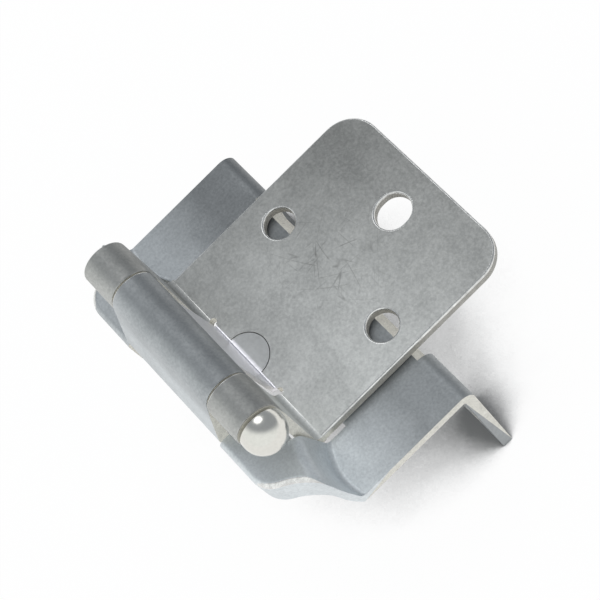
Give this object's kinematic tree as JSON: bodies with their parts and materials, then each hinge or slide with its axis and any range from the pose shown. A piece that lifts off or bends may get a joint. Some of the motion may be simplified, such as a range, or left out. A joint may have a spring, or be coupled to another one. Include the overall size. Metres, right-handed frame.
{
  "type": "spring loaded door hinge",
  "caption": "Pressed steel door hinge that springs shut: a slotted door leaf lies over a stepped frame leaf whose tabs fold down, with rolled knuckles on a domed pin.",
  "frame": {"origin": "on the underside of the frame leaf's plate, midway along the pin", "axes": "+X from the pin across the leaves, +Y along the pin away from its domed head, +Z out of the frame towards the door"},
  "size_m": [0.0436, 0.0506, 0.041],
  "materials": {
    "plated_sheet": "satin zinc plate on pressed sheet steel",
    "polished_pin": "polished steel",
    "spring_strip": "bright rolled spring strip"
  },
  "bodies": {
    "frame_side": {"frame_leaf": "plated_sheet", "hinge_pin": "polished_pin"},
    "door_side": {"door_leaf": "plated_sheet", "closing_spring": "spring_strip"}
  },
  "joints": [
    {"name": "door_swing", "type": "hinge", "parent": "frame_side", "child": "door_side", "pos_m": [-0.0135, 0, 0.0184], "axis": [0, -1, 0], "range_deg": [0, 180], "stiffness_Nm_per_rad": 0.06, "springref_deg": -28.65}
  ]
}
